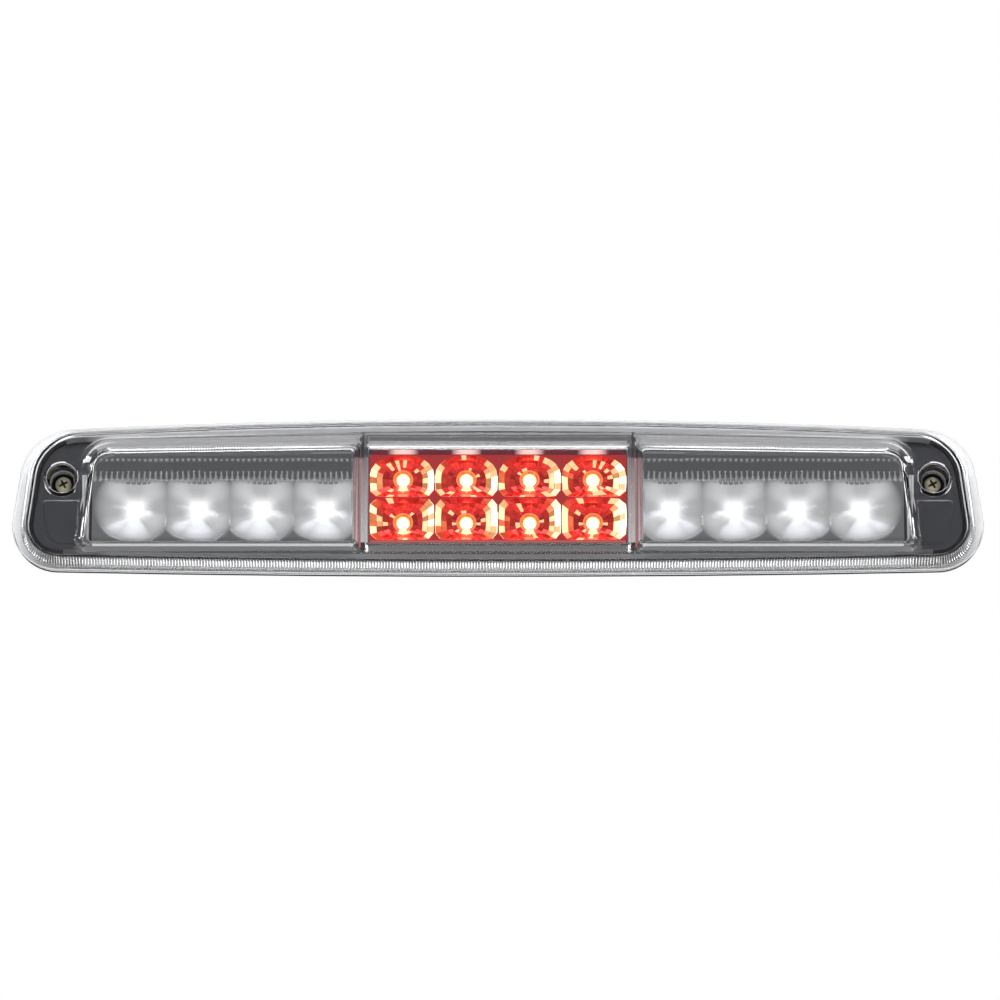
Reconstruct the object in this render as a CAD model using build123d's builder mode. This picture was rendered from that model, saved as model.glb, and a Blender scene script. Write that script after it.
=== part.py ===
"""Third brake light of a pickup truck, with a brake window between two cargo-lamp windows.

Millimetres. The lamp mounts on an upright panel in the XZ plane, y = 0, with +Z up and its front
facing -Y. The origin is midway between the two mounting screws, in the plane of the panel.
Depth below means distance in front of the panel, so a point at depth d has y = -d.
"""

import os
from dataclasses import dataclass, replace

from build123d import *

# ---------------------------------------------------------------- driving dimensions
SCREW_SPACING = 430.0  # between the two mounting screws

LENS_WALL = 2.3
SKIRT_WALL = 1.6
LIP_BACK = 5.5  # depths of the lens, from the panel outwards
LIP_FRONT = 7.0
SKIRT_FOOT = 8.0
PLATEAU = 14.8
CENTRE_FRONT = 19.8
SIDE_FRONT = 21.8
LENS_INSIDE = PLATEAU - LENS_WALL
SKIRT_FLARE = 3.5  # how far the skirt spreads from the plateau's edge to its foot

GASKET = 1.4  # thickness of the black rubber gasket on the panel
FLANGE_BACK = 4.0  # the foam pad fills the space from the gasket to here
PAD_EDGE = 5.4  # the pad's raised edge, under the lens's lip
FLANGE_FRONT = 6.0
LEDGE = 9.8  # seat of the bezel
BEZEL_FRONT = 11.5
RIM_TOP = 12.2
RIM_UNDERSIDE = 11.0
POD_BACK = -18.0  # the pod reaches this far behind the panel
POD_WALL = 2.2

BOARD_BACK = 4.4
BOARD_FRONT = 6.0
REFLECTOR_BACK = 8.5
CUP_FLOOR = 9.5
BRAKE_RIM = 16.4
CARGO_RIM = 17.2
LED_TIP = 12.8

LED_PITCH = 31.2
BRAKE_ROWS = (0.3, -21.8)  # heights of the two rows of red LEDs
BRAKE_CELL = 22.1
CARGO_ROW = -15.4
CARGO_FIRST = 85.0  # x of the white LED nearest the middle
CARGO_LEDS = [(CARGO_FIRST + LED_PITCH * i, CARGO_ROW) for i in range(4)]
CARGO_MIDDLE = CARGO_FIRST + 1.5 * LED_PITCH
BRAKE_LEDS = [(LED_PITCH * (i - 1.5), z) for i in range(4) for z in BRAKE_ROWS]

MOUTH_R = 7.4  # screw well in the lens
WELL_FLOOR_R = 5.9
WELL_FLOOR = 3.0
WELL_UNDERSIDE = 1.6
WELL_WALL = 1.6
CLEARANCE_R = 9.2  # holes in the gasket and the flange that the wells pass through
SLEEVE_R = 3.2
SLEEVE_BORE_R = 2.4
THREAD_R = 2.0
SHANK_R = 1.75
SCREW_END = -16.0
HEAD_R = 4.0
HEAD_HEIGHT = 2.0


@dataclass
class Outline:
    """A closed shape with bowed top and bottom edges, straight leaning sides and round corners."""

    half_top: float
    half_bottom: float
    top: float
    bottom: float
    top_bow: float
    bottom_bow: float
    top_r: float
    bottom_r: float

    def inset(self, by):
        """The same shape made smaller all round."""
        return replace(
            self,
            half_top=self.half_top - by,
            half_bottom=self.half_bottom - by,
            top=self.top - by,
            bottom=self.bottom + by,
            top_r=self.top_r - by,
            bottom_r=self.bottom_r - by,
        )


LENS_OUTLINE = Outline(232.9, 243.2, 33.6, -47.1, 6.3, 2.8, 27.0, 23.0)
DOME_OUTLINE = Outline(226.8, 234.4, 28.6, -42.6, 6.6, 2.8, 23.0, 17.0)
POD_OUTLINE = Outline(190.5, 192.5, 17.4, -39.2, 1.2, 1.2, 8.0, 8.0)


def at_depth(depth):
    """The plane parallel to the panel at this depth. Its normal points out, towards the viewer."""
    return Plane(origin=(0, -depth, 0), x_dir=(1, 0, 0), z_dir=(0, -1, 0))


def bowed(outline, depth):
    """A face of this outline at this depth."""
    shoulder = outline.top - outline.top_bow
    heel = outline.bottom + outline.bottom_bow
    with BuildSketch(at_depth(depth)) as face:
        with BuildLine():
            ThreePointArc((-outline.half_top, shoulder), (0, outline.top), (outline.half_top, shoulder))
            Line((outline.half_top, shoulder), (outline.half_bottom, heel))
            ThreePointArc((outline.half_bottom, heel), (0, outline.bottom), (-outline.half_bottom, heel))
            Line((-outline.half_bottom, heel), (-outline.half_top, shoulder))
        make_face()
        fillet(face.vertices().filter_by(lambda v: v.Y > 0), outline.top_r)
        low_corners = face.vertices().filter_by(lambda v: v.Y < -20 and abs(v.X) > outline.half_bottom - 1)
        fillet(low_corners, outline.bottom_r)
    return face.sketch.face()


def four_sided(corners, radii, depth):
    """A face with four straight sides and a radius at each corner."""
    with BuildSketch(at_depth(depth)) as face:
        with BuildLine():
            Polyline(*corners, close=True)
        make_face()
        for corner, radius in zip(corners, radii):
            fillet(face.vertices().sort_by_distance(corner)[0], radius)
    return face.sketch.face()


def side_block(depth, low, inset):
    """The right cargo block of the lens, low on the plateau or at its front, made smaller by inset."""
    if low:
        bottom, outer_top, inner_top, inner, outer_low, outer_high = -38.6, 20.4, 23.1, 66.6, 210.0, 206.6
        radii = (2.4, 6.5, 17.0, 2.4)
    else:
        bottom, outer_top, inner_top, inner, outer_low, outer_high = -35.2, 12.4, 14.5, 70.0, 204.2, 199.4
        radii = (2.6, 4.0, 8.0, 2.6)
    corners = [
        (inner + inset, bottom + inset),
        (outer_low - inset, bottom + inset),
        (outer_high - inset, outer_top - inset),
        (inner + inset, inner_top - inset),
    ]
    return four_sided(corners, [radius - 0.5 * inset for radius in radii], depth)


def centre_block(depth, low, inset):
    """The brake block of the lens, low on the plateau or at its front, made smaller by inset."""
    half, top, bottom = (66.2, 23.2, -38.6) if low else (65.2, 15.1, -35.6)
    half, top, bottom = half - inset, top - inset, bottom + inset
    return four_sided([(-half, bottom), (half, bottom), (half, top), (-half, top)], [1.4] * 4, depth)


def circles(spots, radius, depth):
    """Faces of this radius at these spots (x, z) at this depth, from left to right."""
    with BuildSketch(at_depth(depth)) as discs:
        with Locations(*spots):
            Circle(radius)
    return discs.sketch.faces().sort_by(Axis.X)


def box(x_span, z_span, depth_span, radius=0.0):
    """A block between these limits, with its upright corners rounded."""
    middle = ((x_span[0] + x_span[1]) / 2, (z_span[0] + z_span[1]) / 2)
    width, height = x_span[1] - x_span[0], z_span[1] - z_span[0]
    with BuildPart() as block:
        with BuildSketch(at_depth(depth_span[0])):
            with Locations(middle):
                if radius:
                    RectangleRounded(width, height, radius)
                else:
                    Rectangle(width, height)
        extrude(amount=depth_span[1] - depth_span[0])
    return block.part


def rods(spots, radius, depth_span):
    """Round bars along the depth at these spots."""
    with BuildPart() as bars:
        with BuildSketch(at_depth(depth_span[0])):
            with Locations(*spots):
                Circle(radius)
        extrude(amount=depth_span[1] - depth_span[0])
    return bars.part


def ring(outline, inner_outline, depth_span):
    """A band between two outlines."""
    outside, inside = bowed(outline, depth_span[0]), bowed(inner_outline, depth_span[0])
    with BuildPart() as band:
        extrude(outside, amount=depth_span[1] - depth_span[0])
        extrude(inside, amount=depth_span[1] - depth_span[0], mode=Mode.SUBTRACT)
    return band.part


def write(shape, name):
    """Names a finished shape and writes it as its own STEP file."""
    shape.label = name
    export_step(shape, f"parts/{name}.step")


def write_pair(shape, name):
    """Writes a right-hand shape and its mirror image on the left."""
    write(shape, f"{name}_right")
    write(mirror(shape, about=Plane.YZ), f"{name}_left")


os.makedirs("parts", exist_ok=True)
screw_spots = [(-SCREW_SPACING / 2, 0), (SCREW_SPACING / 2, 0)]


# ---------------------------------------------------------------- outer lens
skirt_foot = DOME_OUTLINE.inset(-SKIRT_FLARE)
lip = bowed(LENS_OUTLINE, LIP_BACK)
foot_back, foot_front = bowed(skirt_foot, LIP_BACK), bowed(skirt_foot, SKIRT_FOOT)
dome = bowed(DOME_OUTLINE, PLATEAU)
hollow_back = bowed(skirt_foot.inset(SKIRT_WALL), LIP_BACK)
hollow_foot = bowed(skirt_foot.inset(SKIRT_WALL), LIP_BACK + 0.6)
hollow_top = bowed(DOME_OUTLINE.inset(SKIRT_WALL - 0.2), LENS_INSIDE)
side_low, side_high = side_block(PLATEAU, True, 0), side_block(SIDE_FRONT, False, 0)
side_hollow_low = side_block(LENS_INSIDE - 0.1, True, LENS_WALL)
side_hollow_high = side_block(SIDE_FRONT - LENS_WALL, False, 1.2)
centre_low, centre_high = centre_block(PLATEAU, True, 0), centre_block(CENTRE_FRONT, False, 0)
centre_hollow_low = centre_block(LENS_INSIDE - 0.1, True, LENS_WALL)
centre_hollow_high = centre_block(CENTRE_FRONT - LENS_WALL, False, 1.2)
well_outside = zip(
    circles(screw_spots, WELL_FLOOR_R + WELL_WALL, WELL_UNDERSIDE),
    circles(screw_spots, MOUTH_R + WELL_WALL, LENS_INSIDE + 0.5),
)
well_inside = zip(circles(screw_spots, WELL_FLOOR_R, WELL_FLOOR), circles(screw_spots, MOUTH_R, PLATEAU))
shank_holes = rods(screw_spots, SLEEVE_R + 0.05, (0, WELL_FLOOR))

with BuildPart() as outer_lens:
    extrude(lip, amount=LIP_FRONT - LIP_BACK)
    extrude(foot_back, amount=SKIRT_FOOT - LIP_BACK)
    loft([foot_front, dome], ruled=True)
    for block in (side_low, side_high), (side_low.mirror(Plane.YZ), side_high.mirror(Plane.YZ)), (
        centre_low,
        centre_high,
    ):
        loft(list(block), ruled=True)
    extrude(hollow_back, amount=0.6, mode=Mode.SUBTRACT)
    loft([hollow_foot, hollow_top], ruled=True, mode=Mode.SUBTRACT)
    loft([side_hollow_low, side_hollow_high], ruled=True, mode=Mode.SUBTRACT)
    loft(
        [side_hollow_low.mirror(Plane.YZ), side_hollow_high.mirror(Plane.YZ)],
        ruled=True,
        mode=Mode.SUBTRACT,
    )
    loft([centre_hollow_low, centre_hollow_high], ruled=True, mode=Mode.SUBTRACT)
    for low, high in well_outside:
        loft([low, high])
    for low, high in well_inside:
        loft([low, high], mode=Mode.SUBTRACT)
    add(shank_holes, mode=Mode.SUBTRACT)
write(outer_lens.part, "outer_lens")


# ---------------------------------------------------------------- rear housing, seal, gasket, bezel
post_spots = [(-LED_PITCH, -10.75), (LED_PITCH, -10.75)]
side_posts = [(CARGO_MIDDLE - LED_PITCH, CARGO_ROW), (CARGO_MIDDLE + LED_PITCH, CARGO_ROW)]
side_posts_left = [(-x, z) for x, z in side_posts]
pod_floor = POD_BACK + POD_WALL
grommet_spots = [(-18.0, -22.0), (118.0, -24.0)]
vent_spots = [(-160.0, 0.0), (160.0, 0.0)]
GROMMET_R = 5.5
RIBS = (0.0, 36.0, 72.0, 104.0, 140.0, 176.0, -36.0, -72.0, -104.0, -140.0, -176.0)  # on the pod's back
VENT_R = 3.2

seal_foot = bowed(DOME_OUTLINE.inset(-1.6), FLANGE_FRONT)
seal_top = bowed(DOME_OUTLINE.inset(0.8), RIM_UNDERSIDE)
right_lug_zone = box((204, 250), (-60, -17.5), (FLANGE_FRONT, RIM_UNDERSIDE + 0.1))
lug_zones = right_lug_zone, mirror(right_lug_zone, about=Plane.YZ)
with BuildPart() as skirt_fill:
    loft([seal_foot, seal_top], ruled=True)
    seal_inside = bowed(DOME_OUTLINE.inset(2.1), FLANGE_FRONT)
    extrude(seal_inside, amount=RIM_UNDERSIDE - FLANGE_FRONT, mode=Mode.SUBTRACT)
corner_lugs = skirt_fill.part & (lug_zones[0] + lug_zones[1])
lens_seal = skirt_fill.part - (lug_zones[0] + lug_zones[1])
write(lens_seal, "lens_seal")

with BuildPart() as rim:  # the black edge that the lens is welded to
    add(ring(DOME_OUTLINE.inset(2.1), DOME_OUTLINE.inset(3.1), (9.0, RIM_UNDERSIDE)))
    add(ring(DOME_OUTLINE.inset(1.4), DOME_OUTLINE.inset(3.1), (RIM_UNDERSIDE, RIM_TOP)))

flange_face = bowed(DOME_OUTLINE.inset(-0.9), FLANGE_BACK)
pod_face = bowed(POD_OUTLINE, FLANGE_BACK)
pod_hollow = bowed(POD_OUTLINE.inset(POD_WALL), FLANGE_FRONT)
with BuildPart() as rear_housing:
    extrude(flange_face, amount=FLANGE_FRONT - FLANGE_BACK)
    add(ring(DOME_OUTLINE.inset(2.1), DOME_OUTLINE.inset(5.0), (FLANGE_FRONT, LEDGE)))
    add(rim.part)
    add(corner_lugs)
    extrude(pod_face, amount=POD_BACK - FLANGE_BACK)
    fillet(rear_housing.faces().sort_by(Axis.Y)[-1].edges(), 2.0)
    for x in RIBS:
        add(box((x - 0.8, x + 0.8), (-34.5, 12.5), (POD_BACK - 1.4, POD_BACK)))
    extrude(pod_hollow, amount=pod_floor - FLANGE_FRONT, mode=Mode.SUBTRACT)
    add(rods(post_spots + side_posts + side_posts_left, 3.4, (pod_floor, BOARD_BACK)))
    add(rods(post_spots + side_posts + side_posts_left, 1.35, (-6.0, BOARD_BACK)), mode=Mode.SUBTRACT)
    add(rods(vent_spots, VENT_R, (POD_BACK - 3.0, POD_BACK)))
    add(rods(vent_spots, VENT_R - 1.2, (POD_BACK - 3.0, pod_floor)), mode=Mode.SUBTRACT)
    add(rods(grommet_spots, GROMMET_R, (POD_BACK, pod_floor)), mode=Mode.SUBTRACT)
    add(rods(screw_spots, CLEARANCE_R, (FLANGE_BACK, RIM_TOP)), mode=Mode.SUBTRACT)
write(rear_housing.part, "rear_housing")

with BuildPart() as panel_gasket:
    add(ring(LENS_OUTLINE.inset(0.6), POD_OUTLINE.inset(-0.6), (0, GASKET)))
    add(rods(screw_spots, CLEARANCE_R, (0, GASKET)), mode=Mode.SUBTRACT)
write(panel_gasket.part, "panel_gasket")

with BuildPart() as foam_pad:
    add(ring(LENS_OUTLINE.inset(0.9), POD_OUTLINE.inset(-0.6), (GASKET, FLANGE_BACK)))
    add(ring(LENS_OUTLINE.inset(0.9), DOME_OUTLINE.inset(-1.2), (FLANGE_BACK, PAD_EDGE)))
    add(rods(screw_spots, CLEARANCE_R, (GASKET, FLANGE_BACK)), mode=Mode.SUBTRACT)
write(foam_pad.part, "foam_pad")

reflector_corners = [(70.8, -33.8), (200.0, -33.8), (199.4, 12.4), (70.8, 13.6)]
brake_window = box((-63.8, 63.8), (-33.3, 11.8), (LEDGE, BEZEL_FRONT), 1.0)
with BuildPart() as side_window:
    with BuildSketch(at_depth(LEDGE)):
        with BuildLine():
            Polyline(*reflector_corners, close=True)
        make_face()
        offset(amount=0.4, kind=Kind.INTERSECTION)
    extrude(amount=BEZEL_FRONT - LEDGE)
with BuildPart() as brow:  # polished ridge over the brake window
    with BuildSketch(Plane.YZ.offset(-62)):
        with BuildLine():
            foot_points = (-11.5, 17.2), (-11.0, 17.2), (-11.0, 13.0), (-11.5, 13.0)
            Polyline(*foot_points, (-13.7, 14.8), (-13.7, 15.4), close=True)
        make_face()
    extrude(amount=124)
bezel_face = bowed(DOME_OUTLINE.inset(3.3), LEDGE)
with BuildPart() as bezel:
    extrude(bezel_face, amount=BEZEL_FRONT - LEDGE)
    add(brow.part)
    add(rods(screw_spots, CLEARANCE_R + 0.1, (LEDGE, BEZEL_FRONT)), mode=Mode.SUBTRACT)
    add(brake_window, mode=Mode.SUBTRACT)
    add(side_window.part, mode=Mode.SUBTRACT)
    add(mirror(side_window.part, about=Plane.YZ), mode=Mode.SUBTRACT)
write(bezel.part, "bezel")


# ---------------------------------------------------------------- reflectors
def cup(spot, half_width, half_height, rim):
    """The hollow of one reflector cup, with the hole for its LED."""
    x, z = spot
    with BuildSketch(at_depth(CUP_FLOOR)) as low:
        with Locations(spot):
            Circle(4.6)
    with BuildSketch(at_depth(rim)) as high:
        with Locations(spot):
            Ellipse(half_width, half_height)
    with BuildPart() as hollow:
        loft([low.sketch.face(), high.sketch.face()], ruled=True)
        add(rods([spot], 3.2, (REFLECTOR_BACK, CUP_FLOOR)))
    return hollow.part


brake_feet = [(x, z) for x in (-58.5, 58.5) for z in (6.5, -28.0)]
with BuildPart() as brake_reflector:
    add(box((-63.4, 63.4), (-32.9, 11.4), (REFLECTOR_BACK, BRAKE_RIM), 0.8))
    for spot in BRAKE_LEDS:
        add(cup(spot, 15.2, 10.7, BRAKE_RIM), mode=Mode.SUBTRACT)
    add(rods(brake_feet, 2.0, (BOARD_FRONT, REFLECTOR_BACK)))
    add(rods(brake_feet, 1.1, (BOARD_BACK - 0.8, BOARD_FRONT)))
write(brake_reflector.part, "brake_reflector")

side_feet = [(CARGO_MIDDLE - 53.5, CARGO_ROW), (CARGO_MIDDLE + 53.0, CARGO_ROW)]
with BuildPart() as cargo_reflector:
    with BuildSketch(at_depth(REFLECTOR_BACK)) as cargo_face:
        with BuildLine():
            Polyline(*reflector_corners, close=True)
        make_face()
        fillet(cargo_face.vertices().sort_by_distance(reflector_corners[2])[0], 10)
    extrude(amount=CARGO_RIM - REFLECTOR_BACK)
    add(box((74, 194), (2.5, 9.5), (CARGO_RIM - 1.6, CARGO_RIM)), mode=Mode.SUBTRACT)
    for spot in CARGO_LEDS:
        add(cup(spot, 15.4, 15.4, CARGO_RIM), mode=Mode.SUBTRACT)
    add(rods(side_feet, 2.0, (BOARD_FRONT, REFLECTOR_BACK)))
    add(rods(side_feet, 1.1, (BOARD_BACK - 0.8, BOARD_FRONT)))
write_pair(cargo_reflector.part, "cargo_reflector")


# ---------------------------------------------------------------- boards and what they carry
def led_set(spots):
    """Round 5 mm LEDs at these spots, each with a flange, a domed body and two leads."""
    with BuildPart() as leds:
        add(rods(spots, 2.9, (BOARD_FRONT + 0.1, BOARD_FRONT + 1.1)))
        add(rods(spots, 2.5, (BOARD_FRONT + 1.1, LED_TIP - 2.5)))
        with Locations([(x, -(LED_TIP - 2.5), z) for x, z in spots]):
            Sphere(2.5)
        add(rods(lead_spots(spots), 0.3, (BOARD_BACK - 1.0, BOARD_FRONT + 0.1)))
    return leds.part


def lead_spots(spots):
    """Where the leads of these LEDs pass through the board."""
    return [(x + side * 1.27, z) for x, z in spots for side in (-1, 1)]


def board(x_span, z_span, leds, posts, feet):
    """A circuit board drilled for its LEDs, screws and reflector feet."""
    with BuildPart() as plate:
        add(box(x_span, z_span, (BOARD_BACK, BOARD_FRONT), 2.0))
        add(rods(lead_spots(leds), 0.4, (BOARD_BACK, BOARD_FRONT)), mode=Mode.SUBTRACT)
        add(rods(posts, 1.6, (BOARD_BACK, BOARD_FRONT)), mode=Mode.SUBTRACT)
        add(rods(feet, 1.25, (BOARD_BACK, BOARD_FRONT)), mode=Mode.SUBTRACT)
    return plate.part


def board_screws(spots):
    """Pan-head screws that hold a board on the housing's posts."""
    recess = BOARD_FRONT + 0.7, BOARD_FRONT + 1.6
    with BuildPart() as screws:
        add(rods(spots, 2.6, (BOARD_FRONT, BOARD_FRONT + 1.6)))
        add(rods(spots, 1.3, (-4.0, BOARD_FRONT)))
        for x, z in spots:
            add(box((x - 1.6, x + 1.6), (z - 0.3, z + 0.3), recess), mode=Mode.SUBTRACT)
            add(box((x - 0.3, x + 0.3), (z - 1.6, z + 1.6), recess), mode=Mode.SUBTRACT)
    return screws.part


def chips(spots, width, height, thickness):
    """Small surface-mounted parts on the back of a board."""
    with BuildPart() as parts:
        for x, z in spots:
            span_x, span_z = (x - width / 2, x + width / 2), (z - height / 2, z + height / 2)
            add(box(span_x, span_z, (BOARD_BACK - thickness, BOARD_BACK)))
    return parts.part


write(led_set(BRAKE_LEDS), "brake_leds")
write_pair(led_set(CARGO_LEDS), "cargo_leds")
write(board((-61.5, 61.5), (-32.5, 10.5), BRAKE_LEDS, post_spots, brake_feet), "brake_board")
write_pair(board((74.0, 187.4), (-26.0, -5.0), CARGO_LEDS, side_posts, side_feet), "cargo_board")
write(board_screws(post_spots), "brake_board_screws")
write_pair(board_screws(side_posts), "cargo_board_screws")
chip_columns = [LED_PITCH * (i - 1.5) for i in range(4)]
write(chips([(x, -10.75) for x in chip_columns], 3.2, 1.6, 0.6), "brake_resistors")
write_pair(chips([(CARGO_MIDDLE + x, -21.5) for x in chip_columns], 3.2, 1.6, 0.6), "cargo_resistors")
write(chips([(0, -2.5)], 4.6, 2.6, 2.2), "brake_diode")
write_pair(chips([(CARGO_MIDDLE, -9.0)], 4.6, 2.6, 2.2), "cargo_diode")
write(chips([(0, -22.0)], 7.6, 5.0, 6.0), "brake_header")
write_pair(chips([(CARGO_MIDDLE, -21.5)], 7.6, 5.0, 6.0), "cargo_header")


# ---------------------------------------------------------------- mounting screws, grommets, vents
x_screw = SCREW_SPACING / 2
spot = [(x_screw, 0)]
with BuildPart() as mounting_screw:
    add(rods(spot, SHANK_R, (0, WELL_FLOOR)))
    add(rods(spot, THREAD_R, (SCREW_END, 0)))
    chamfer(mounting_screw.edges().sort_by(Axis.Y)[-1], 1.0)
    add(rods(spot, HEAD_R, (WELL_FLOOR, WELL_FLOOR + HEAD_HEIGHT)))
    fillet(mounting_screw.edges().sort_by(Axis.Y)[0], 1.2)
    recess = WELL_FLOOR + HEAD_HEIGHT - 1.3, WELL_FLOOR + HEAD_HEIGHT
    add(box((x_screw - 2.2, x_screw + 2.2), (-0.5, 0.5), recess), mode=Mode.SUBTRACT)
    add(box((x_screw - 0.5, x_screw + 0.5), (-2.2, 2.2), recess), mode=Mode.SUBTRACT)
write_pair(mounting_screw.part, "mounting_screw")

sleeve = rods(spot, SLEEVE_R, (0, WELL_FLOOR)) - rods(spot, SLEEVE_BORE_R, (0, WELL_FLOOR))
write_pair(sleeve, "mounting_sleeve")
screw_seal = rods(spot, 7.4, (0, WELL_UNDERSIDE)) - rods(spot, SLEEVE_R + 0.2, (0, WELL_UNDERSIDE))
write_pair(screw_seal, "screw_seal")


def grommet(spot):
    """A rubber grommet in the pod's back wall, with a bore for the cable."""
    with BuildPart() as plug:
        add(rods([spot], GROMMET_R, (POD_BACK, pod_floor)))
        add(rods([spot], GROMMET_R + 1.6, (POD_BACK - 2.0, POD_BACK)))
        add(rods([spot], GROMMET_R + 1.2, (pod_floor, pod_floor + 1.8)))
        add(rods([spot], 1.9, (POD_BACK - 2.0, pod_floor + 1.8)), mode=Mode.SUBTRACT)
    return plug.part


write(grommet(grommet_spots[0]), "brake_grommet")
write(grommet(grommet_spots[1]), "cargo_grommet")
vent_cap = rods(vent_spots[1:], VENT_R + 1.4, (POD_BACK - 4.5, POD_BACK - 0.4)) - rods(
    vent_spots[1:], VENT_R, (POD_BACK - 3.0, POD_BACK - 0.4)
)
write_pair(vent_cap, "vent_cap")
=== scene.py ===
"""Looks of the third brake light: clear fluted lens, chrome cups, lit LEDs, black housing."""
import math

import bmesh
import bpy
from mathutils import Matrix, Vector
from mathutils.geometry import tessellate_polygon
from mathutils.kdtree import KDTree


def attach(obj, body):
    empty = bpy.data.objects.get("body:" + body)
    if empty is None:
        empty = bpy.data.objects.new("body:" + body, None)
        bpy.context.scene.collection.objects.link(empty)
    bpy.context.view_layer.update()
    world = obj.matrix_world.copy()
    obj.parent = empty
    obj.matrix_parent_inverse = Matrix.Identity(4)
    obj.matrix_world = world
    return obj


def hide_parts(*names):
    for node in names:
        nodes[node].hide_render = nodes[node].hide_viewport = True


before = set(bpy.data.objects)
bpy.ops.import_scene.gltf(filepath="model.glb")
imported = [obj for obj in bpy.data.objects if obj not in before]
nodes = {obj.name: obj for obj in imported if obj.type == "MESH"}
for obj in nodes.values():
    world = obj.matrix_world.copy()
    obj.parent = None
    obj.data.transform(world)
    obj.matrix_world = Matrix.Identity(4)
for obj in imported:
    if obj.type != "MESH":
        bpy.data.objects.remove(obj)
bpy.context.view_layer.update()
MM = 0.001

# ---------------------------------------------------------------- the lens's sizes, in millimetres
LENS_WALL, SKIRT_WALL = 2.3, 1.6
LIP_BACK, LIP_FRONT, SKIRT_FOOT, PLATEAU = 5.5, 7.0, 8.0, 14.8
CENTRE_FRONT, SIDE_FRONT = 19.8, 21.8
LENS_INSIDE = PLATEAU - LENS_WALL
SKIRT_FLARE = 3.5
FLUTE_DEPTH = 0.75
SCREW_X = 215.0
LED_PITCH = 31.2
BRAKE_ROWS = (0.3, -21.8)
CARGO_ROW, CARGO_FIRST = -15.4, 85.0
BRAKE_RIM, CARGO_RIM, CUP_FLOOR = 16.4, 17.2, 9.5
CUP_STEPS = 28  # facets round each brake cup
REFLECTOR_BACK, BEZEL_BACK, BEZEL_FRONT = 8.5, 9.8, 11.5
RIM_UNDERSIDE, RIM_TOP = 11.0, 12.2
WELL_FLOOR, WELL_UNDERSIDE = 3.0, 1.6
FOLD = 1.0  # width of the band round the lens's front that is painted near-black as painted shade
HEAD_R, HEAD_HEIGHT, SHANK_R, SCREW_END = 4.0, 2.0, 1.75, -16.0
LENS = dict(
    half_top=232.9, half_bottom=243.2, top=33.6, bottom=-47.1,
    top_bow=6.3, bottom_bow=2.8, top_r=27.0, bottom_r=23.0,
)
DOME = dict(
    half_top=226.8, half_bottom=234.4, top=28.6, bottom=-42.6,
    top_bow=6.6, bottom_bow=2.8, top_r=23.0, bottom_r=17.0,
)


def inset(outline, by):
    """The same outline made smaller all round."""
    o = dict(outline)
    for key in ("half_top", "half_bottom", "top", "top_r", "bottom_r"):
        o[key] -= by
    o["bottom"] += by
    return o


def at(x, z, depth):
    """A point in metres from millimetres across, up and in front of the panel."""
    return Vector((x * MM, -depth * MM, z * MM))


# ---------------------------------------------------------------- outlines as loops of points
# The place of each point across one flute, and how deep it is.
FLUTES = ((0.0, 1.0), (0.16, 0.35), (0.34, 0.06), (0.5, 0.0), (0.66, 0.06), (0.84, 0.35))
# Flutes on the top edge, an upper corner, a side, a lower corner and the bottom edge.
RUNS = (290, 24, 24, 24, 302)


def corner(circle_z, radius, bulges_up, line_point, line_dir, fillet):
    """Centre of the fillet between a big arc centred at (0, circle_z) and a line."""
    normal = Vector((-line_dir.y, line_dir.x))
    if normal.x > 0:
        normal = -normal
    start = line_point + normal * fillet
    reach = radius - fillet
    to_centre = start - Vector((0, circle_z))
    b = to_centre.dot(line_dir)
    c = to_centre.dot(to_centre) - reach * reach
    root = math.sqrt(b * b - c)
    spots = [start + line_dir * (-b + sign * root) for sign in (-1, 1)]
    return max(spots, key=lambda p: p.y) if bulges_up else min(spots, key=lambda p: p.y)


def bowed(outline):
    """Points (x, z) round the outline, and how far each one is down the valley of a flute."""
    o = outline
    shoulder = Vector((o["half_top"], o["top"] - o["top_bow"]))
    heel = Vector((o["half_bottom"], o["bottom"] + o["bottom_bow"]))
    side_dir = (heel - shoulder).normalized()
    r_top = (o["half_top"] ** 2 + o["top_bow"] ** 2) / (2 * o["top_bow"])
    r_low = (o["half_bottom"] ** 2 + o["bottom_bow"] ** 2) / (2 * o["bottom_bow"])
    z_top, z_low = o["top"] - r_top, o["bottom"] + r_low
    c_top = corner(z_top, r_top, True, shoulder, side_dir, o["top_r"])
    c_low = corner(z_low, r_low, False, heel, side_dir, o["bottom_r"])
    outward = Vector((-side_dir.y, side_dir.x))
    side_angle = math.atan2(outward.y, outward.x)
    end_top = math.atan2(c_top.y - z_top, c_top.x)
    end_low = math.atan2(c_low.y - z_low, c_low.x)
    flat = Vector((math.cos(side_angle), math.sin(side_angle)))
    runs = []

    def arc(centre, radius, start, end):
        def where(t):
            angle = start + (end - start) * t
            return centre + radius * Vector((math.cos(angle), math.sin(angle)))

        return where

    runs.append((RUNS[0] // 2, arc(Vector((0, z_top)), r_top, math.pi / 2, end_top)))
    runs.append((RUNS[1], arc(c_top, o["top_r"], end_top, side_angle)))
    side_start, side_end = c_top + o["top_r"] * flat, c_low + o["bottom_r"] * flat
    runs.append((RUNS[2], lambda t: side_start.lerp(side_end, t)))
    runs.append((RUNS[3], arc(c_low, o["bottom_r"], side_angle, end_low)))
    runs.append((RUNS[4] // 2, arc(Vector((0, z_low)), r_low, end_low, -math.pi / 2)))
    right, valley = [], []
    for count, where in runs:
        for i in range(count):
            for phase, low in FLUTES:
                right.append(where((i + phase) / count))
                valley.append(low)
    low_middle = runs[-1][1](1.0)
    left = [Vector((-p.x, p.y)) for p in reversed(right[1:])]
    return right + [low_middle] + left, valley + [1.0] + list(reversed(valley[1:]))


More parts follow.
